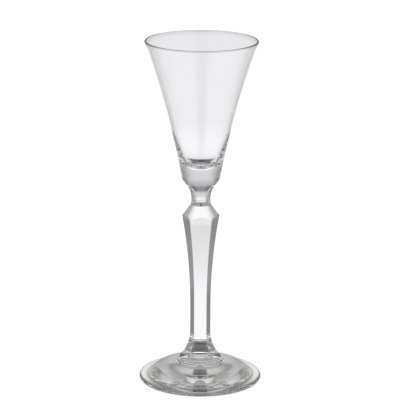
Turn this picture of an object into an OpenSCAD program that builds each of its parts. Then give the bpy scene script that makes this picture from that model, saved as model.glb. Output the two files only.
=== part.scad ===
// Liqueur glass: a slender conical bowl on a faceted stem and a round foot.
// Millimetres. +Z is up, and the origin is the middle of the foot's resting ring.

/* [Bowl] */
// Outside diameter at the rim
rim_d = 53.4; // [48:0.1:62]
// Height of the bowl piece from its joint with the stem to the rim
bowl_h = 78.6; // [70:0.1:90]
// Wall thickness of the upper bowl
wall_t = 0.9; // [0.7:0.05:1.4]
// Thickness of the rounded rim
rim_t = 1.1; // [0.9:0.05:1.6]
// How far the wall bows in from a straight cone
wall_bow = 1.5; // [0.4:0.1:2]
// Diameter at the corner of the solid base
base_d = 18; // [15:0.1:20]
// Height of that corner above the joint
base_h = 12.4; // [11.6:0.1:14]
// Solid glass between the joint and the bottom of the cavity
floor_h = 18; // [17:0.1:20]
// Depth of the cavity's rounded bottom
cup_h = 3.6; // [2.6:0.1:5]
// Height over which the wall thickens down to the base
thicken_h = 16; // [12:0.5:20]
// Extra wall thickness where the rounded bottom starts
thicken_t = 1.7; // [1:0.1:2.2]

/* [Neck] */
// Diameter of the joint between bowl and stem
joint_d = 9.8; // [8.4:0.1:11]
// Height of the round neck above the joint
neck_h = 7.6; // [6.6:0.1:8.6]
// Diameter where the neck opens into the base
neck_top_d = 11.2; // [10.4:0.1:12.4]
// How far the neck curves in
neck_in = 0.62; // [0.3:0.02:0.9]

/* [Stem] */
// Height of the stem from its joint with the foot to its joint with the bowl
stem_h = 78.65; // [70:0.05:90]
// Half thickness of the shaft between two opposite facets
shaft_half = 4.41; // [3.8:0.01:5]
// Half thickness of the shoulder between two opposite facets
shoulder_half = 8.06; // [7:0.01:9]
// Drop from the joint to the widest point of the shoulder
shoulder_drop = 5.4; // [4.8:0.1:6.5]
// Angle from the broad facets to the side facets
facet_angle = 66; // [60:1:70]
// Height on the stem where the shaft starts to swell
swell_start = 28.5; // [22:0.5:34]
// Height on the stem where the flare ends
flare_h = 16; // [14:0.5:19]
// Height of the flare's straight lower part
skirt_h = 6.25; // [5:0.05:7.5]
// Half thickness between facets at the top of that part
skirt_half = 6.85; // [6.2:0.05:7.4]
// Radius of the round skirt that trims the facets there
skirt_r = 8.3; // [7.8:0.1:9]

/* [Foot] */
// Outside diameter of the foot
foot_d = 58.5; // [52:0.1:68]
// Height of the joint between foot and stem
foot_h = 7.75; // [7:0.05:9]
// Diameter of that joint
flare_d = 23.4; // [21:0.1:26]
// Thickness of the foot's rounded edge
edge_t = 2.4; // [2:0.1:3]
// Width of the flat band between the dome and the foot's edge
band_w = 4.05; // [3.4:0.05:5]
// Height of the dome's lower end above the top of the edge
band_rise = 0.1; // [0:0.05:0.5]
// How far the dome swells above a straight slope
dome_swell = 1.9; // [1.2:0.1:2.4]
// Width of the resting ring
ring_w = 2; // [1.4:0.1:3]
// Depth of the hollow underside
hollow_h = 4.5; // [3:0.1:5.2]
// Power of the hollow's curve, from 1 for a cone to 2 for a bowl
hollow_curve = 1.3; // [1.1:0.1:2]

/* [Hidden] */
$fn = 96;
stem_z = foot_h;
bowl_z = foot_h + stem_h;
rim_z = bowl_z + bowl_h;
rim_r = rim_d / 2;
base_r = base_d / 2;
base_z = bowl_z + base_h;
floor_z = bowl_z + floor_h;
cup_z = floor_z + cup_h;
wall_top_z = rim_z - rim_t / 2;
joint_r = joint_d / 2;
neck_top_r = neck_top_d / 2;
flare_r = flare_d / 2;
foot_r = foot_d / 2;
edge_r = edge_t / 2;
dome_r = foot_r - band_w;
dome_z = edge_t + band_rise;
shoulder_z = bowl_z - shoulder_drop;
swell_z = stem_z + swell_start;
flare_z = stem_z + flare_h;
skirt_z = stem_z + skirt_h;
hollow_r = foot_r - edge_r - ring_w;
// Room that the round body keeps outside the facets' corners, at the shoulder and along the shaft
shoulder_room = 0.6;
shaft_room = 1;
// How far the facets' blocks reach past the body, and how far their lower ends run out past the flare
block_over = 5;
flare_over = 0.05;
corner_r = shoulder_half / cos(facet_angle / 2);
vertex_r = shoulder_half / sin(facet_angle);
shoulder_slope = (vertex_r - joint_r) / shoulder_drop;
shoulder_low_r = corner_r + shoulder_room;
shoulder_low_z = bowl_z - (shoulder_low_r - joint_r) / shoulder_slope;
clear_r = shaft_half / cos(facet_angle / 2) + shaft_room;
swell_r = lead_out(shoulder_z - swell_z, shoulder_half - shaft_half);
bend_r = lead_out(flare_z - skirt_z, skirt_half - shaft_half);
reach = max(flare_r, shoulder_low_r) + block_over;
run_out = flare_r + flare_over;
// Height over which the rim's extra thickness runs into the wall
lip_blend = 2;
bend_steps = 8;
swell_steps = 18;

// Points on the circular arc from p to q that stands out to the left of the chord by bulge
function arc(p, q, bulge, n) =
    let (
        chord = q - p,
        length = norm(chord),
        left = [-chord[1], chord[0]] / length,
        radius = (length * length / 4 + bulge * bulge) / (2 * bulge),
        centre = (p + q) / 2 + left * (bulge - radius),
        sweep = 4 * atan(2 * bulge / length),
        from = p - centre
    )
    [for (i = [0 : n])
        let (a = -sweep * i / n)
        centre + [from[0] * cos(a) - from[1] * sin(a), from[0] * sin(a) + from[1] * cos(a)]];

// Outside radius of the bowl's wall at height z
function wall_r(z) =
    let (t = (z - base_z) / (wall_top_z - base_z))
    base_r + (rim_r - base_r) * t - 4 * wall_bow * t * (1 - t);

// Wall thickness at height z
function wall_at(z) =
    let (t = max(0, (cup_z + thicken_h - z) / thicken_h))
    wall_t + thicken_t * t * t;

// Radius of the arc that leaves a straight line and moves off it by rise over a length of run
function lead_out(run, rise) = (run * run + rise * rise) / (2 * rise);

// How far that arc has moved off the line after a length of run
function moved_off(run, radius) = radius - sqrt(radius * radius - run * run);

module bowl_profile() {
    cup_r = wall_r(cup_z) - wall_at(cup_z);
    cup_ball = (cup_r * cup_r + cup_h * cup_h) / (2 * cup_h);
    cup_span = asin(cup_r / cup_ball);
    outside = [for (i = [0 : 16]) let (z = base_z + (wall_top_z - base_z) * i / 16) [wall_r(z), z]];
    lip = [for (a = [22.5 : 22.5 : 157.5])
        [rim_r - rim_t / 2 + cos(a) * rim_t / 2, wall_top_z + sin(a) * rim_t / 2]];
    lip_end = [rim_r - rim_t, wall_top_z];
    inside_top = wall_top_z - lip_blend;
    inside = [for (i = [0 : 20])
        let (z = inside_top - (inside_top - cup_z) * i / 20)
        [wall_r(z) - wall_at(z), z]];
    cup = [for (i = [1 : 10])
        let (a = cup_span * (1 - i / 10))
        [cup_ball * sin(a), floor_z + cup_ball * (1 - cos(a))]];
    polygon(concat(
        [[0, bowl_z]],
        arc([joint_r, bowl_z], [neck_top_r, bowl_z + neck_h], neck_in, 10),
        outside,
        lip,
        [lip_end],
        inside,
        cup
    ));
}

module bowl() {
    color([0.86, 0.90, 0.93])
        rotate_extrude()
            bowl_profile();
}

// Side outline of two opposite facets: the skirt, the bend above it, the shaft and its swelling taper
module facet_outline() {
    bend = [for (i = [0 : bend_steps])
        let (z = skirt_z + (flare_z - skirt_z) * i / bend_steps)
        [shaft_half + moved_off(flare_z - z, bend_r), z]];
    swell = [for (i = [0 : swell_steps])
        let (z = swell_z + (bowl_z - swell_z) * i / swell_steps)
        [shaft_half + moved_off(z - swell_z, swell_r), z]];
    half = concat([[run_out, stem_z]], bend, swell);
    other = [for (i = [len(half) - 1 : -1 : 0]) [-half[i][0], half[i][1]]];
    polygon(concat(half, other));
}

// Block between two opposite facets, turned about the stem's axis
module facet_pair(turn) {
    rotate([0, 0, 90 + turn])
        rotate([90, 0, 0])
            linear_extrude(height = 2 * reach, center = true)
                facet_outline();
}

// Round body that the facets are cut from
module stem_round() {
    rotate_extrude()
        polygon([
            [0, stem_z],
            [flare_r, stem_z],
            [skirt_r, skirt_z],
            [clear_r, flare_z],
            [clear_r, swell_z],
            [shoulder_low_r, shoulder_low_z],
            [joint_r, bowl_z],
            [0, bowl_z]
        ]);
}

module stem() {
    color([0.84, 0.89, 0.92])
        intersection() {
            stem_round();
            facet_pair(0);
            facet_pair(facet_angle);
            facet_pair(-facet_angle);
        }
}

module foot_profile() {
    edge = [for (a = [80 : -10 : -90])
        [foot_r - edge_r + edge_r * cos(a), edge_r + edge_r * sin(a)]];
    polygon(concat(
        [[0, foot_h]],
        arc([flare_r, foot_h], [dome_r, dome_z], dome_swell, 16),
        edge,
        [for (i = [0 : 16])
            let (r = hollow_r * (1 - i / 16))
            [r, hollow_h * (1 - pow(r / hollow_r, hollow_curve))]]
    ));
}

module foot() {
    color([0.82, 0.88, 0.91])
        rotate_extrude()
            foot_profile();
}

bowl();
stem();
foot();
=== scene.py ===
import math

import bmesh
import bpy
from mathutils import Euler, Matrix, Vector


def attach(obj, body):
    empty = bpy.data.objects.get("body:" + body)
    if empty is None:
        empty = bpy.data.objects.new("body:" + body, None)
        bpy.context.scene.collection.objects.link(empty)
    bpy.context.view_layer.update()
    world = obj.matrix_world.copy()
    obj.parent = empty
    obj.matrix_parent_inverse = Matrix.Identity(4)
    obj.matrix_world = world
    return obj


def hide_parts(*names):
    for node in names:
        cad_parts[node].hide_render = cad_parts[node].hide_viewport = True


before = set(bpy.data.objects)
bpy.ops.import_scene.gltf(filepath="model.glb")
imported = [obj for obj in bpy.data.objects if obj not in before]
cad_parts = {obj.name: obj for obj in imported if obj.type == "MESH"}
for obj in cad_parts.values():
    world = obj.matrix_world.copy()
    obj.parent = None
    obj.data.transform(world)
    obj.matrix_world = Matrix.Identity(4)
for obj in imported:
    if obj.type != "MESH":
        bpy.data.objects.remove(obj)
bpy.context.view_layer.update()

scene = bpy.context.scene
scene.view_settings.view_transform = "Standard"
metre = 0.001  # the sizes below are in millimetres
touching = 2e-6  # points this close are one, and a joint's face lies this close to its height
print("frame loaded:", ", ".join(sorted(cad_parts)))


# points on the circular arc from p to q that stands out to the left of its chord
def arcPoints(p, q, bulge, steps):
    p, q = Vector(p), Vector(q)
    chord = q - p
    left = Vector((-chord.y, chord.x)).normalized()
    radius = (chord.length_squared / 4 + bulge * bulge) / (2 * bulge)
    centre = (p + q) / 2 + left * (bulge - radius)
    sweep = 4 * math.atan(2 * bulge / chord.length)
    start = p - centre
    return [tuple(centre + Matrix.Rotation(-sweep * i / steps, 2) @ start) for i in range(steps + 1)]


# points that round off the corner between two straight runs
def easedCorner(before, corner, after, reach, steps=8):
    b, c, a = Vector(before), Vector(corner), Vector(after)
    start = c + (b - c).normalized() * reach
    end = c + (a - c).normalized() * reach
    points = []
    for i in range(steps + 1):
        t = i / steps
        points.append(tuple(start * (1 - t) ** 2 + c * 2 * t * (1 - t) + end * t * t))
    return points


# radius of the arc that leaves a straight line and moves off it by rise over a length of run
def leadOut(run, rise):
    return (run * run + rise * rise) / (2 * rise)


# how far that arc has moved off the line after a length of run
def movedOff(run, radius):
    return radius - math.sqrt(radius * radius - run * run)


def spaced(low, high, steps):
    return [low + (high - low) * i / steps for i in range(steps + 1)]


# radius at height z along (height, radius) points
def between(points, z):
    for (z0, r0), (z1, r1) in zip(points, points[1:]):
        if z0 <= z <= z1:
            return r0 + (r1 - r0) * (z - z0) / (z1 - z0)
    return points[-1][1]


# node helpers
def addNode(tree, kind, **settings):
    node = tree.nodes.new(kind)
    for key, value in settings.items():
        setattr(node, key, value)
    return node


def feed(tree, value, socket):
    if isinstance(value, bpy.types.NodeSocket):
        tree.links.new(value, socket)
    else:
        socket.default_value = value


def calc(tree, operation, *values):
    node = addNode(tree, "ShaderNodeMath", operation=operation)
    for value, socket in zip(values, node.inputs):
        feed(tree, value, socket)
    return node.outputs[0]


def newTree(name, numbers):
    tree = bpy.data.node_groups.new(name, "GeometryNodeTree")
    face = tree.interface
    face.new_socket("Profile", in_out="INPUT", socket_type="NodeSocketGeometry")
    for label, kind in numbers:
        face.new_socket(label, in_out="INPUT", socket_type=kind)
    face.new_socket("Glass", in_out="INPUT", socket_type="NodeSocketMaterial")
    face.new_socket("Joint", in_out="INPUT", socket_type="NodeSocketMaterial")
    face.new_socket("Piece", in_out="OUTPUT", socket_type="NodeSocketGeometry")
    return tree, addNode(tree, "NodeGroupInput"), addNode(tree, "NodeGroupOutput")


# a grid with one row for each profile point and one column for each step of the turn
def turnGrid(tree, given):
    size = addNode(tree, "GeometryNodeAttributeDomainSize", component="MESH")
    tree.links.new(given.outputs["Profile"], size.inputs[0])
    rows = size.outputs["Point Count"]
    grid = addNode(tree, "GeometryNodeMeshGrid")
    feed(tree, calc(tree, "ADD", given.outputs["Turn Steps"], 1.0), grid.inputs["Vertices X"])
    feed(tree, rows, grid.inputs["Vertices Y"])
    index = addNode(tree, "GeometryNodeInputIndex").outputs[0]
    row = calc(tree, "MODULO", index, rows)
    guard = 0.25  # keeps a whole column from rounding down
    column = calc(tree, "FLOOR", calc(tree, "DIVIDE", calc(tree, "ADD", index, guard), rows))
    share = calc(tree, "DIVIDE", column, given.outputs["Turn Steps"])
    return grid.outputs["Mesh"], row, calc(tree, "MULTIPLY", share, 2 * math.pi)


def sampleRow(tree, given, row, value, dataType):
    sample = addNode(tree, "GeometryNodeSampleIndex", data_type=dataType, domain="POINT")
    tree.links.new(given.outputs["Profile"], sample.inputs["Geometry"])
    tree.links.new(value, sample.inputs["Value"])
    tree.links.new(row, sample.inputs["Index"])
    return sample.outputs[0]


# radius and height of the grid's points, from their row of the profile
def profilePoint(tree, given, row):
    position = addNode(tree, "GeometryNodeInputPosition").outputs[0]
    split = addNode(tree, "ShaderNodeSeparateXYZ")
    tree.links.new(sampleRow(tree, given, row, position, "FLOAT_VECTOR"), split.inputs[0])
    return split.outputs["X"], split.outputs["Z"]


def attributeOutput(tree, name):
    node = addNode(tree, "GeometryNodeInputNamedAttribute", data_type="FLOAT")
    node.inputs["Name"].default_value = name
    return node.outputs["Attribute"]


# places the grid round the axis, closes it, smooths it and gives the joint faces their own material
def closeTurned(tree, given, put, mesh, radius, height, angle):
    place = addNode(tree, "ShaderNodeCombineXYZ")
    feed(tree, calc(tree, "MULTIPLY", radius, calc(tree, "SINE", angle)), place.inputs[0])
    back = calc(tree, "MULTIPLY", radius, calc(tree, "COSINE", angle))
    feed(tree, calc(tree, "MULTIPLY", back, -1.0), place.inputs[1])
    feed(tree, height, place.inputs[2])
    setPlace = addNode(tree, "GeometryNodeSetPosition")
    tree.links.new(mesh, setPlace.inputs["Geometry"])
    tree.links.new(place.outputs[0], setPlace.inputs["Position"])
    merge = addNode(tree, "GeometryNodeMergeByDistance")
    merge.inputs["Distance"].default_value = touching
    tree.links.new(setPlace.outputs[0], merge.inputs["Geometry"])
    smooth = addNode(tree, "GeometryNodeSetShadeSmooth", domain="FACE")
    tree.links.new(merge.outputs[0], smooth.inputs["Geometry"])
    bend = addNode(tree, "GeometryNodeInputMeshEdgeAngle").outputs["Unsigned Angle"]
    crease = addNode(tree, "GeometryNodeSetShadeSmooth", domain="EDGE")
    crease.inputs["Shade Smooth"].default_value = False
    tree.links.new(smooth.outputs[0], crease.inputs["Geometry"])
    sharp = calc(tree, "GREATER_THAN", bend, given.outputs["Crease Angle"])
    tree.links.new(sharp, crease.inputs["Selection"])
    realize = addNode(tree, "GeometryNodeRealizeInstances")
    tree.links.new(crease.outputs[0], realize.inputs["Geometry"])
    glass = addNode(tree, "GeometryNodeSetMaterial")
    tree.links.new(realize.outputs[0], glass.inputs["Geometry"])
    tree.links.new(given.outputs["Glass"], glass.inputs["Material"])
    where = addNode(tree, "ShaderNodeSeparateXYZ")
    tree.links.new(addNode(tree, "GeometryNodeInputPosition").outputs[0], where.inputs[0])
    low = calc(tree, "COMPARE", where.outputs["Z"], given.outputs["Joint Height"], touching)
    high = calc(tree, "COMPARE", where.outputs["Z"], given.outputs["Second Joint Height"], touching)
    joint = addNode(tree, "GeometryNodeSetMaterial")
    tree.links.new(glass.outputs[0], joint.inputs["Geometry"])
    tree.links.new(calc(tree, "MAXIMUM", low, high), joint.inputs["Selection"])
    tree.links.new(given.outputs["Joint"], joint.inputs["Material"])
    tree.links.new(joint.outputs[0], put.inputs["Piece"])


sharedNumbers = [("Turn Steps", "NodeSocketInt"), ("Crease Angle", "NodeSocketFloat"),
                 ("Joint Height", "NodeSocketFloat"), ("Second Joint Height", "NodeSocketFloat")]


# round pieces: the profile turned about the axis
def turnedTree():
    tree, given, put = newTree("turnedGlass", sharedNumbers)
    mesh, row, angle = turnGrid(tree, given)
    radius, height = profilePoint(tree, given, row)
    closeTurned(tree, given, put, mesh, radius, height, angle)
    return tree


# the stem: the turned profile cut by three pairs of facets, with softened edges
def facetTree():
    numbers = sharedNumbers + [("Facet Angle", "NodeSocketFloat")]
    tree, given, put = newTree("facetedStem", numbers)
    mesh, row, angle = turnGrid(tree, given)
    radius, height = profilePoint(tree, given, row)
    half = sampleRow(tree, given, row, attributeOutput(tree, "facetHalf"), "FLOAT")
    soft = sampleRow(tree, given, row, attributeOutput(tree, "edgeSoft"), "FLOAT")
    leastLean = 0.05  # keeps the radius finite along the facet's own direction
    for turn in (0.0, 1.0, -1.0):
        facetTurn = calc(tree, "MULTIPLY", given.outputs["Facet Angle"], turn)
        lean = calc(tree, "ABSOLUTE", calc(tree, "COSINE", calc(tree, "SUBTRACT", angle, facetTurn)))
        facet = calc(tree, "DIVIDE", half, calc(tree, "MAXIMUM", lean, leastLean))
        radius = calc(tree, "SMOOTH_MIN", radius, facet, soft)
    closeTurned(tree, given, put, mesh, radius, height, angle)
    return tree


# turns a list of (radius, height) points into a finished piece
def makePiece(name, profile, tree, values, attributes=None):
    line = bpy.data.meshes.new(name + "Profile")
    line.from_pydata([(r * metre, 0, z * metre) for r, z in profile],
                     [(i, i + 1) for i in range(len(profile) - 1)], [])
    for key, numbers in (attributes or {}).items():
        layer = line.attributes.new(key, "FLOAT", "POINT")
        layer.data.foreach_set("value", [n * metre for n in numbers])
    maker = bpy.data.objects.new(name + "Maker", line)
    scene.collection.objects.link(maker)
    modifier = maker.modifiers.new("turn", "NODES")
    modifier.node_group = tree
    for item in tree.interface.items_tree:
        if item.in_out == "INPUT" and item.name in values:
            modifier[item.identifier] = values[item.name]
    deps = bpy.context.evaluated_depsgraph_get()
    mesh = bpy.data.meshes.new_from_object(maker.evaluated_get(deps))
    maker.modifiers.remove(modifier)
    bpy.data.objects.remove(maker)
    mesh.name = name
    work = bmesh.new()
    work.from_mesh(mesh)
    bmesh.ops.recalc_face_normals(work, faces=work.faces)
    work.to_mesh(mesh)
    openEdges = sum(1 for e in work.edges if len(e.link_faces) != 2)
    work.free()
    piece = bpy.data.objects.new(name, mesh)
    scene.collection.objects.link(piece)
    print(name, "made:", len(mesh.polygons), "faces,", openEdges, "open edges,",
          len(mesh.materials), "materials")
    return piece


# grey ramp through (value, level) stops
def grade(tree, value, stops):
    low, high = stops[0][0], stops[-1][0]
    most = 2.0  # a ramp holds 0 to 1, so levels are divided by this and multiplied back
    ramp = addNode(tree, "ShaderNodeValToRGB")
    elements = ramp.color_ramp.elements
    while len(elements) < len(stops):
        elements.new(0.5)
    for element, (at, level) in zip(elements, stops):
        element.position = (at - low) / (high - low)
        element.color = (level / most, level / most, level / most, 1)
    feed(tree, calc(tree, "DIVIDE", calc(tree, "SUBTRACT", value, low), high - low), ramp.inputs[0])
    return calc(tree, "MULTIPLY", ramp.outputs[0], most)


# runs smoothly from start to end while the value goes from low to high
def step(tree, value, low, high, start=0.0, end=1.0):
    node = addNode(tree, "ShaderNodeMapRange", interpolation_type="SMOOTHSTEP")
    feed(tree, value, node.inputs["Value"])
    for label, number in (("From Min", low), ("From Max", high), ("To Min", start), ("To Max", end)):
        feed(tree, number, node.inputs[label])
    return node.outputs[0]


def vectorCalc(tree, operation, *values):
    node = addNode(tree, "ShaderNodeVectorMath", operation=operation)
    for value, socket in zip(values, node.inputs):
        feed(tree, value, socket)
    return node.outputs["Value" if operation == "LENGTH" else "Vector"]


def mixColour(tree, share, low, high):
    node = addNode(tree, "ShaderNodeMix", data_type="RGBA")
    for value, index in ((share, 0), (low, 6), (high, 7)):
        feed(tree, value, node.inputs[index])
    return node.outputs[2]


def noise(tree, place, scale, detail):
    node = addNode(tree, "ShaderNodeTexNoise")
    for label, value in (("Vector", place), ("Scale", scale), ("Detail", detail)):
        feed(tree, value, node.inputs[label])
    return node.outputs["Fac"]


# shared glass finish: a faint drawn ripple, streaks of tint, painted shade that darkens the edges,
# and scuffs where a foot rubs on tables
finishInputs = {
    "NodeSocketColor": ("Clear", "Streak", "Edge Shade"),
    "NodeSocketVector": ("Drawn Out", "Edge Axes", "Edge Centre"),
    "NodeSocketFloat": ("Ripple Scale", "Haze", "Scuff", "Scuff Height", "Edge From", "Edge To"),
}
finishOutputs = {"NodeSocketColor": ("Color",), "NodeSocketFloat": ("Roughness", "Ripple")}


def finishGroup():
    group = bpy.data.node_groups.new("drawnGlass", "ShaderNodeTree")
    for way, sockets in (("INPUT", finishInputs), ("OUTPUT", finishOutputs)):
        for kind, labels in sockets.items():
            for label in labels:
                group.interface.new_socket(label, in_out=way, socket_type=kind)
    given, put = addNode(group, "NodeGroupInput").outputs, addNode(group, "NodeGroupOutput").inputs
    place = addNode(group, "ShaderNodeTexCoord").outputs["Object"]
    drawn = vectorCalc(group, "MULTIPLY", place, given["Drawn Out"])
    rippleDetail, scratchDetail, scratchScale = 1.0, 2.0, 2500.0
    ripple = noise(group, drawn, given["Ripple Scale"], rippleDetail)
    feed(group, ripple, put["Ripple"])
    tint = mixColour(group, ripple, given["Clear"], given["Streak"])
    # painted shade: past Edge From the colour darkens towards the edge colour, so the edges look shaded
    fromCentre = vectorCalc(group, "SUBTRACT", place, given["Edge Centre"])
    reach = vectorCalc(group, "LENGTH", vectorCalc(group, "MULTIPLY", fromCentre, given["Edge Axes"]))
    edgeShade = step(group, reach, given["Edge From"], given["Edge To"])
    feed(group, mixColour(group, edgeShade, tint, given["Edge Shade"]), put["Color"])
    scratches = noise(group, place, scratchScale, scratchDetail)
    split = addNode(group, "ShaderNodeSeparateXYZ")
    feed(group, place, split.inputs[0])
    low = step(group, split.outputs["Z"], 0.0, given["Scuff Height"], 1.0, 0.0)
    worn = calc(group, "MULTIPLY", calc(group, "MULTIPLY", low, scratches), given["Scuff"])
    feed(group, calc(group, "MULTIPLY_ADD", ripple, given["Haze"], worn), put["Roughness"])
    return group


drawnGlass = finishGroup()
glassRefraction = 1.52


def clearMaterial(name, refraction):
    material = bpy.data.materials.new(name)
    material.use_nodes = True
    shader = material.node_tree.nodes["Principled BSDF"]
    shader.inputs["Roughness"].default_value = 0.0
    shader.inputs["IOR"].default_value = refraction
    shader.inputs["Transmission Weight"].default_value = 1.0
    return material, shader


def glassMaterial(look):
    material, shader = clearMaterial(look["name"], glassRefraction)
    tree = material.node_tree
    finish = addNode(tree, "ShaderNodeGroup", node_tree=drawnGlass)
    for kind, labels in finishInputs.items():
        for label in labels:
            value = (*look[label], 1) if kind == "NodeSocketColor" else look[label]
            finish.inputs[label].default_value = value
    bump = addNode(tree, "ShaderNodeBump")
    bump.inputs["Distance"].default_value = look["rippleDepth"] * metre
    tree.links.new(finish.outputs["Ripple"], bump.inputs["Height"])
    tree.links.new(finish.outputs["Color"], shader.inputs["Base Color"])
    tree.links.new(finish.outputs["Roughness"], shader.inputs["Roughness"])
    tree.links.new(bump.outputs[0], shader.inputs["Normal"])
    return material


# painted shade at the rim and at the neck's lower end
bowlGlass = glassMaterial({
    "name": "bowlGlass", "Clear": (0.984, 0.982, 0.991), "Streak": (0.963, 0.96, 0.974),
    "Ripple Scale": 110.0, "rippleDepth": 0.012, "Drawn Out": (1.0, 1.0, 0.25),
    "Haze": 0.01, "Scuff": 0.0, "Scuff Height": 0.001,
    "Edge Axes": (0.0, 0.0, 1.0), "Edge Centre": (0.0, 0.0, 0.12625),
    "Edge From": 0.0376, "Edge To": 0.0386, "Edge Shade": (0.6, 0.6, 0.61)})
# no painted edge shade
stemGlass = glassMaterial({
    "name": "stemGlass", "Clear": (0.985, 0.984, 0.987), "Streak": (0.968, 0.966, 0.97),
    "Ripple Scale": 160.0, "rippleDepth": 0.008, "Drawn Out": (1.0, 1.0, 0.4),
    "Haze": 0.008, "Scuff": 0.0, "Scuff Height": 0.001,
    "Edge Axes": (0.0, 0.0, 0.0), "Edge Centre": (0.0, 0.0, 0.0),
    "Edge From": 1.0, "Edge To": 2.0, "Edge Shade": (1.0, 1.0, 1.0)})
# painted shade round its edge
footGlass = glassMaterial({
    "name": "footGlass", "Clear": (0.985, 0.985, 0.98), "Streak": (0.96, 0.965, 0.95),
    "Ripple Scale": 130.0, "rippleDepth": 0.012, "Drawn Out": (1.0, 1.0, 1.0),
    "Haze": 0.01, "Scuff": 0.04, "Scuff Height": 0.00004,
    "Edge Axes": (1.0, 1.0, 0.0), "Edge Centre": (0.0, 0.0, 0.0),
    "Edge From": 0.0276, "Edge To": 0.0289, "Edge Shade": (0.44, 0.44, 0.43)})
fusedJoint, jointShader = clearMaterial("fusedJoint", 1.0)  # fused faces bend no light
jointShader.inputs["Base Color"].default_value = (1, 1, 1, 1)
turned = turnedTree()
faceted = facetTree()
creaseAngle = math.radians(35)
noJoint = -1.0

# bowl
bowlSizes = {
    "rimRadius": 26.7, "rimHeight": 165.0, "rimThickness": 1.1, "wall": 0.9, "wallBow": 1.5,
    "baseRadius": 9.0, "baseHeight": 98.8, "floorHeight": 104.4, "cupDepth": 3.6,
    "thickenHeight": 16.0, "thickenBy": 1.7,
    "jointRadius": 4.9, "jointHeight": 86.4,
    "neckTopRadius": 5.6, "neckTopHeight": 94.0, "neckIn": 0.62,
    "neckEase": 0.5, "baseEase": 1.2, "cupEase": 0.7, "lipBlend": 0.6,
    "neckSteps": 24, "wallSteps": 60, "lipSteps": 12, "cupSteps": 40, "turnSteps": 180,
}


def bowlProfile(s):
    wallTop = s["rimHeight"] - s["rimThickness"] / 2
    cupTop = s["floorHeight"] + s["cupDepth"]

    def wallRadius(z):
        t = (z - s["baseHeight"]) / (wallTop - s["baseHeight"])
        return s["baseRadius"] + (s["rimRadius"] - s["baseRadius"]) * t - 4 * s["wallBow"] * t * (1 - t)

    def insideRadius(z):
        t = max(0, (cupTop + s["thickenHeight"] - z) / s["thickenHeight"])
        return wallRadius(z) - s["wall"] - s["thickenBy"] * t * t

    joint = (s["jointRadius"], s["jointHeight"])
    neckTop = (s["neckTopRadius"], s["neckTopHeight"])
    base = (s["baseRadius"], s["baseHeight"])
    neck = arcPoints(joint, neckTop, s["neckIn"], s["neckSteps"])
    wallStart = s["baseHeight"] + s["baseEase"]
    wallLow = (wallRadius(wallStart), wallStart)
    # the last points of the neck, and below the first ones of the cup, give way to eased corners
    points = [(0, s["jointHeight"])] + neck[:-3]
    points += easedCorner(neck[-4], neckTop, base, s["neckEase"])
    points += easedCorner(neckTop, base, wallLow, s["baseEase"])
    points += [(wallRadius(z), z) for z in spaced(wallStart, wallTop, s["wallSteps"])[1:]]
    lipRadius = s["rimThickness"] / 2
    lipCentre = s["rimRadius"] - lipRadius
    for a in spaced(0, math.pi, s["lipSteps"])[1:]:
        points.append((lipCentre + math.cos(a) * lipRadius, wallTop + math.sin(a) * lipRadius))
    cupRadius = insideRadius(cupTop)
    ball = (cupRadius ** 2 + s["cupDepth"] ** 2) / (2 * s["cupDepth"])
    span = math.asin(cupRadius / ball)
    insideHeights = spaced(wallTop - s["lipBlend"], cupTop + s["cupEase"], s["wallSteps"])
    insideWall = [(insideRadius(z), z) for z in insideHeights]
    cup = [(ball * math.sin(a), s["floorHeight"] + ball * (1 - math.cos(a)))
           for a in spaced(span, 0, s["cupSteps"])]
    points += insideWall[:-1]
    points += easedCorner(insideWall[-1], cup[0], cup[3], s["cupEase"])
    points += cup[4:]
    points[-1] = (0, s["floorHeight"])
    return points


bowl = makePiece("bowl_glass", bowlProfile(bowlSizes), turned, {
    "Turn Steps": bowlSizes["turnSteps"], "Crease Angle": creaseAngle,
    "Joint Height": bowlSizes["jointHeight"] * metre, "Second Joint Height": noJoint,
    "Glass": bowlGlass, "Joint": fusedJoint})

# stem
stemSizes = {
    "jointRadius": 4.9, "jointHeight": 86.4, "flareRadius": 11.7, "footJointHeight": 7.75,
    "shaftHalf": 4.41, "shoulderHalf": 8.06, "shoulderHeight": 81.0, "facetAngle": 66.0,
    "swellHeight": 36.25, "flareHeight": 23.75, "bodyRoom": 1.0,
    "skirtHeight": 14.0, "skirtHalf": 6.85, "skirtRadius": 8.3,
    "shoulderCurve": [(80.4, 10.2), (80.75, 9.61), (81.15, 8.82), (81.63, 8.36)],
    "facetRunOut": 11.75, "facetOut": 0.0875, "noFacet": 100.0, "edgeSoft": 0.35, "softRun": 3.0,
    "fineHeight": 70.0, "flareSteps": 52, "shaftSteps": 38, "shoulderSteps": 50, "turnSteps": 360,
}


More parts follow.
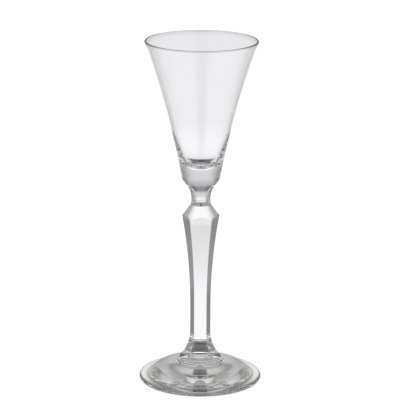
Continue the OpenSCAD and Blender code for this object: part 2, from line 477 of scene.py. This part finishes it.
def stemRows(s):
    angle = math.radians(s["facetAngle"])
    clear = s["shaftHalf"] / math.cos(angle / 2) + s["bodyRoom"]
    body = [(s["footJointHeight"], s["flareRadius"]), (s["skirtHeight"], s["skirtRadius"]),
            (s["flareHeight"], clear), (s["swellHeight"], clear), *s["shoulderCurve"],
            (s["jointHeight"], s["jointRadius"])]
    bend = leadOut(s["flareHeight"] - s["skirtHeight"], s["skirtHalf"] - s["shaftHalf"])
    swell = leadOut(s["shoulderHeight"] - s["swellHeight"], s["shoulderHalf"] - s["shaftHalf"])

    def facetHalf(z):
        if z < s["skirtHeight"]:
            t = (z - s["footJointHeight"]) / (s["skirtHeight"] - s["footJointHeight"])
            return s["facetRunOut"] + (s["skirtHalf"] - s["facetRunOut"]) * t
        if z < s["flareHeight"]:
            return s["shaftHalf"] + movedOff(s["flareHeight"] - z, bend)
        if z < s["swellHeight"]:
            return s["shaftHalf"]
        return s["shaftHalf"] + movedOff(z - s["swellHeight"], swell)

    # the facets' edges soften over a short run from each joint
    def softness(z):
        return s["edgeSoft"] * min(1, (z - heights[0]) / s["softRun"], (heights[-1] - z) / s["softRun"])

    heights = spaced(s["footJointHeight"], s["flareHeight"], s["flareSteps"])
    heights += spaced(s["flareHeight"], s["fineHeight"], s["shaftSteps"])[1:]
    heights += spaced(s["fineHeight"], s["jointHeight"], s["shoulderSteps"])[1:]
    points = [(0, heights[0])] + [(between(body, z), z) for z in heights] + [(0, heights[-1])]
    soft = [0.0] + [softness(z) for z in heights] + [0.0]
    # the facets stand out a little, for what the softening takes off
    half = [s["noFacet"]] + [facetHalf(z) + s["facetOut"] for z in heights] + [s["noFacet"]]
    return points, half, soft


stemPoints, stemHalf, stemSoft = stemRows(stemSizes)
stem = makePiece("stem_glass", stemPoints, faceted, {
    "Turn Steps": stemSizes["turnSteps"], "Crease Angle": creaseAngle,
    "Joint Height": stemSizes["jointHeight"] * metre,
    "Second Joint Height": stemSizes["footJointHeight"] * metre,
    "Facet Angle": math.radians(stemSizes["facetAngle"]),
    "Glass": stemGlass, "Joint": fusedJoint}, {"facetHalf": stemHalf, "edgeSoft": stemSoft})

# foot
footSizes = {
    "radius": 29.25, "jointHeight": 7.75, "flareRadius": 11.7,
    "edge": 2.4, "edgeStart": 80.0, "edgeEnd": -90.0,
    "domeRadius": 25.2, "domeHeight": 2.5, "domeBulge": 1.9, "domeEase": 1.0,
    "ring": 2.0, "hollow": 4.5, "hollowCurve": 1.3,
    "edgeSteps": 24, "domeSteps": 48, "hollowSteps": 72, "turnSteps": 300,
}


def footProfile(s):
    edgeRadius = s["edge"] / 2
    edge = [(s["radius"] - edgeRadius + edgeRadius * math.cos(a), edgeRadius + edgeRadius * math.sin(a))
            for a in spaced(math.radians(s["edgeStart"]), math.radians(s["edgeEnd"]), s["edgeSteps"])]
    rim = (s["domeRadius"], s["domeHeight"])
    dome = arcPoints((s["flareRadius"], s["jointHeight"]), rim, s["domeBulge"], s["domeSteps"])
    # the last points of the dome give way to an eased corner
    points = [(0, s["jointHeight"])] + dome[:-6]
    points += easedCorner(dome[-7], rim, edge[0], s["domeEase"])
    points += edge
    hollowRadius = s["radius"] - edgeRadius - s["ring"]
    for r in spaced(hollowRadius, 0, s["hollowSteps"]):
        points.append((r, s["hollow"] * (1 - (r / hollowRadius) ** s["hollowCurve"])))
    return points


foot = makePiece("foot_glass", footProfile(footSizes), turned, {
    "Turn Steps": footSizes["turnSteps"], "Crease Angle": creaseAngle,
    "Joint Height": footSizes["jointHeight"] * metre, "Second Joint Height": noJoint,
    "Glass": footGlass, "Joint": fusedJoint})

for piece, node in ((bowl, "bowl"), (stem, "stem"), (foot, "foot")):
    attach(piece, "root")
    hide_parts(node)

# studio: levels by height and by turn from the back, both in degrees
studio = {
    "floorSize": 8.0, "floorDrop": 0.2, "floorColour": 0.8, "floorGlow": 0.9,
    "backHeights": [(-90, 0.06), (-56, 0.06), (-54, 0.3), (-52, 0.85), (-46, 0.97), (-30, 1.06),
                    (-18, 1.025), (-14, 0.97), (-10, 0.85), (-3, 0.72), (5, 0.66), (12, 0.58),
                    (20, 0.5), (30, 0.4), (45, 0.33), (70, 0.32), (75, 0.2), (90, 0.15)],
    "frontHeights": [(-90, 0.08), (-72, 0.1), (-60, 0.25), (-48, 0.9), (-8, 1.0), (5, 0.85),
                     (12, 0.55), (20, 0.4), (32, 0.25), (60, 0.2), (90, 0.25)],
    "lowTurns": [(0, 1.0), (10, 1.0), (18, 0.88), (26, 0.6), (34, 0.36), (42.5, 0.28), (43.2, 0.85),
                 (46.3, 0.85), (46.8, 0.235), (56, 0.235), (66, 0.6), (90, 0.85), (150, 1.0),
                 (158, 1.0), (168, 0.5), (180, 0.45)],
    "highTurns": [(0, 1.0), (20, 0.93), (30, 0.8), (40, 0.52), (60, 0.5), (100, 0.7), (150, 1.0),
                  (160, 1.0), (168, 0.05), (180, 0.0)],
    "backToFront": (95, 140), "lowToHigh": (-6, 2), "tint": (1.0, 0.995, 1.005), "bounces": 24,
}


def plainStage(name, points, material):
    mesh = bpy.data.meshes.new(name)
    mesh.from_pydata(points, [], [tuple(range(len(points)))])
    mesh.materials.append(material)
    thing = bpy.data.objects.new(name, mesh)
    scene.collection.objects.link(thing)
    return thing


def stageMaterial(name, colour, glow):
    material = bpy.data.materials.new(name)
    material.use_nodes = True
    shader = material.node_tree.nodes["Principled BSDF"]
    shader.inputs["Base Color"].default_value = (colour, colour, colour, 1)
    shader.inputs["Roughness"].default_value = 0.9
    shader.inputs["Specular IOR Level"].default_value = 0.0
    shader.inputs["Emission Color"].default_value = (1, 1, 1, 1)
    shader.inputs["Emission Strength"].default_value = glow
    return material


# floor: pale and lit, it keeps the shadow and is hidden from the glass
floorMaterial = stageMaterial("paleFloor", studio["floorColour"], studio["floorGlow"])
floorHalf = studio["floorSize"] / 2
floorCorners = ((-1, -1), (1, -1), (1, 1), (-1, 1))
floor = plainStage("floor", [(x * floorHalf, y * floorHalf, -studio["floorDrop"] * metre)
                             for x, y in floorCorners], floorMaterial)
floor.visible_transmission = False
floor.visible_glossy = False

# patch under the foot, seen only by the glass, glowing with painted light and shade: a soft painted
# shade, painted rings of light such as the foot throws, and a painted stem shadow that fades into fine
# lines of light behind
shade = {
    "radius": 34.0, "drop": 0.1, "sides": 48, "ovalBack": 0.93, "ovalFront": 0.74,
    "stemHalf": 2.8, "stemSoft": 3.8, "stemLevel": 0.31,
    "backFrom": 14.0, "backTo": 24.0, "backLevel": 1.4, "backHalf": 9.0, "backSoft": 13.0,
    "lineFrom": 19.0, "lineTo": 21.0, "lineSpace": 1.3, "lineDepth": 0.75,
    "rings": [(0, 0.25), (2.5, 0.35), (5, 0.65), (8, 0.62), (11, 0.46), (14, 0.28), (17, 0.21),
              (18.9, 0.2), (19.2, 0.8), (19.6, 0.8), (19.85, 0.2), (21.8, 0.18), (23, 0.24),
              (25, 0.55), (26.5, 0.94), (31, 1.0)],
}
shadedFloor = stageMaterial("shadedFloor", 0.0, 1.0)
tree = shadedFloor.node_tree
spot = addNode(tree, "ShaderNodeSeparateXYZ")
feed(tree, addNode(tree, "ShaderNodeTexCoord").outputs["Object"], spot.inputs[0])
across, along = (calc(tree, "DIVIDE", spot.outputs[axis], metre) for axis in ("X", "Y"))
aside = calc(tree, "ABSOLUTE", across)
oval = calc(tree, "MAXIMUM", calc(tree, "MULTIPLY", along, shade["ovalBack"]),
            calc(tree, "MULTIPLY", along, -shade["ovalFront"]))
ovalSquare = calc(tree, "MULTIPLY", oval, oval)
away = calc(tree, "SQRT", calc(tree, "MULTIPLY_ADD", across, across, ovalSquare))
stemShade = step(tree, aside, shade["stemHalf"], shade["stemSoft"], shade["stemLevel"])
backLight = calc(tree, "MULTIPLY",
                 step(tree, along, shade["backFrom"], shade["backTo"], 0.0, shade["backLevel"]),
                 step(tree, aside, shade["backHalf"], shade["backSoft"], 1.0, 0.0))
waves = calc(tree, "SINE", calc(tree, "MULTIPLY", along, 2 * math.pi / shade["lineSpace"]))
waveDepth = step(tree, along, shade["lineFrom"], shade["lineTo"], 0.0, shade["lineDepth"])
# painted light and shade: this level is the patch's glow
lit = calc(tree, "MULTIPLY", grade(tree, away, shade["rings"]),
           calc(tree, "MAXIMUM", stemShade, backLight))
lit = calc(tree, "MULTIPLY", lit, calc(tree, "MULTIPLY_ADD", waves, waveDepth, 1.0))
feed(tree, lit, tree.nodes["Principled BSDF"].inputs["Emission Strength"])
patchRadius = shade["radius"] * metre
patchTurns = [2 * math.pi * i / shade["sides"] for i in range(shade["sides"])]
patch = plainStage("floorUnderFoot", [(patchRadius * math.cos(a), patchRadius * math.sin(a),
                                       -shade["drop"] * metre) for a in patchTurns], shadedFloor)
patch.visible_camera = False
patch.visible_diffuse = False
patch.visible_shadow = False

# world: a light tent, white behind and below the glass, darker above and in narrow bands to its sides
world = bpy.data.worlds.new("lightTent")
scene.world = world
world.use_nodes = True
tree = world.node_tree
axes = addNode(tree, "ShaderNodeSeparateXYZ")
feed(tree, addNode(tree, "ShaderNodeTexCoord").outputs["Generated"], axes.inputs[0])


def blend(share, low, high):
    return calc(tree, "MULTIPLY_ADD", share, calc(tree, "SUBTRACT", high, low), low)


bearing = calc(tree, "ARCTAN2", axes.outputs["X"], axes.outputs["Y"])
turn = calc(tree, "DEGREES", calc(tree, "ABSOLUTE", bearing))
height = calc(tree, "DEGREES", calc(tree, "ARCSINE", axes.outputs["Z"]))
byHeight = blend(step(tree, turn, *studio["backToFront"]), grade(tree, height, studio["backHeights"]),
                 grade(tree, height, studio["frontHeights"]))
byTurn = blend(step(tree, height, *studio["lowToHigh"]), grade(tree, turn, studio["lowTurns"]),
               grade(tree, turn, studio["highTurns"]))
path = addNode(tree, "ShaderNodeLightPath").outputs
seen = path["Is Camera Ray"]

# bright panels: the turns of their middles, and where their sides, lower ends and upper ends fade
panels = {
    "thin": {"turns": (0, 45, 90, 135), "sides": (4, 9), "lower": (-33, -28), "upper": (3, 8),
             "level": 0.95},
    "side": {"turns": (90,), "sides": (5, 10), "lower": (-13, -9), "upper": (2, 5),
             "level": 0.95},
    "back": {"turns": (0,), "sides": (0.7, 1.6), "lower": (-8, -6), "upper": (-3.5, -2),
             "level": 0.88},
}
thinDepth = 3.5  # the thin panels show only to rays that have passed both of the bowl's walls


def panelLight(p):
    offTurns = [calc(tree, "ABSOLUTE", calc(tree, "SUBTRACT", turn, middle)) for middle in p["turns"]]
    nearest = offTurns[0]
    for other in offTurns[1:]:
        nearest = calc(tree, "MINIMUM", nearest, other)
    light = step(tree, nearest, *p["sides"], p["level"], 0.0)
    light = calc(tree, "MULTIPLY", light, step(tree, height, *p["lower"]))
    return calc(tree, "MULTIPLY", light, step(tree, height, *p["upper"], 1.0, 0.0))


throughWalls = calc(tree, "GREATER_THAN", path["Transmission Depth"], thinDepth)
level = calc(tree, "MULTIPLY", byHeight, byTurn)
for light in (calc(tree, "MULTIPLY", throughWalls, panelLight(panels["thin"])),
              panelLight(panels["side"]), panelLight(panels["back"])):
    level = calc(tree, "MAXIMUM", level, light)
tint = addNode(tree, "ShaderNodeCombineColor")
for socket, share in zip(tint.inputs, studio["tint"]):
    feed(tree, blend(seen, calc(tree, "MULTIPLY", level, share), 1.0), socket)
feed(tree, tint.outputs[0], tree.nodes["Background"].inputs["Color"])
scene.cycles.max_bounces = studio["bounces"]
scene.cycles.transmission_bounces = studio["bounces"]
scene.cycles.glossy_bounces = studio["bounces"]
print("studio ready")

# camera
view = {
    "distance": 1.0737, "elevation": 14.88, "aimHeight": 0.0883, "roll": 0.3,
    "lens": 204.3, "sensor": 36.0, "shift": -0.00225,
}
camera = bpy.data.objects.new("camera", bpy.data.cameras.new("camera"))
scene.collection.objects.link(camera)
tilt = math.radians(view["elevation"])
camera.location = (0, -view["distance"] * math.cos(tilt),
                   view["aimHeight"] + view["distance"] * math.sin(tilt))
roll = Matrix.Rotation(math.radians(view["roll"]), 3, "Z")
camera.rotation_euler = (Euler((math.pi / 2 - tilt, 0, 0)).to_matrix() @ roll).to_euler()
camera.data.lens = view["lens"]
camera.data.sensor_width = view["sensor"]
camera.data.shift_x = view["shift"]
scene.camera = camera
